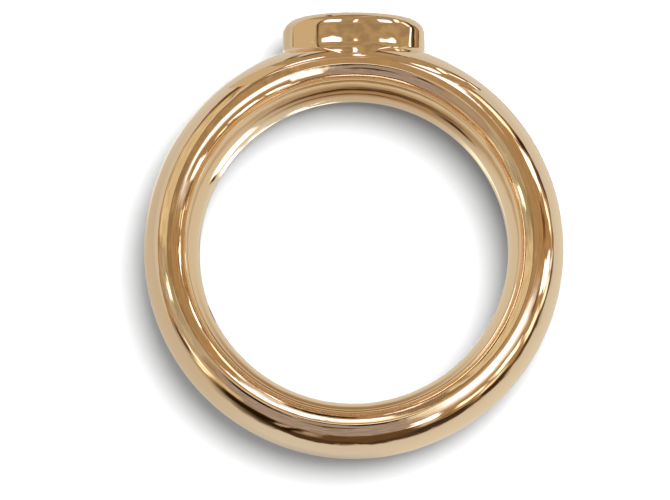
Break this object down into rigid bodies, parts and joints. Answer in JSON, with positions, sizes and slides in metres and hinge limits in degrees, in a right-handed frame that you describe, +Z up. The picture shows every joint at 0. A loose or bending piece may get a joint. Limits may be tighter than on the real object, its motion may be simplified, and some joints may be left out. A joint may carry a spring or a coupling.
{
  "type": "peridot ring",
  "caption": "Wide domed gold finger ring with a round bezel that holds a faceted green stone.",
  "frame": {"origin": "the middle of the finger hole, on its axis and halfway across the band's width", "axes": "Z runs along the finger, and the ring lies on its side with +Z up; +Y points out through the bezel and the stone's table; +X is to the right"},
  "size_m": [0.023, 0.0245, 0.0082],
  "materials": {
    "gold": "polished, finely worn",
    "peridot": "cut and polished"
  },
  "bodies": {
    "root": {"gold_ring": "gold", "peridot": "peridot"}
  },
  "joints": []
}
